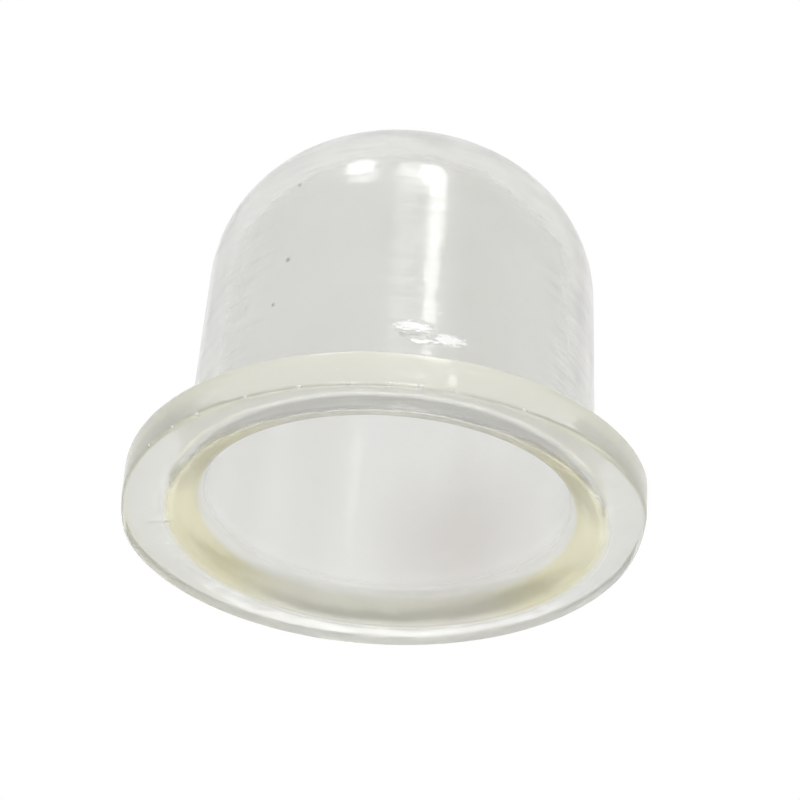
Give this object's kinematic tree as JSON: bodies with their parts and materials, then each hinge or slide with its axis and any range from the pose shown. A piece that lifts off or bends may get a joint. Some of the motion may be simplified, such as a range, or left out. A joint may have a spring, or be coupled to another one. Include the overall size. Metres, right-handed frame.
{
  "type": "primer bulb",
  "caption": "Clear soft dome with a flat clamping flange, open below, squeezed by a thumb to draw fuel into a small engine's carburettor.",
  "frame": {"origin": "on the dome's axis, in the plane of the flange's underside, on which the bulb stands", "axes": "+Z along the dome's axis, from the open flange to the crown; the flange's mould line runs near X"},
  "size_m": [0.0218, 0.0221, 0.0179],
  "materials": {
    "clear_plastic": "clear, faintly yellow soft plastic, glossy with a slight haze"
  },
  "bodies": {
    "root": {"primer_bulb": "clear_plastic"}
  },
  "joints": []
}
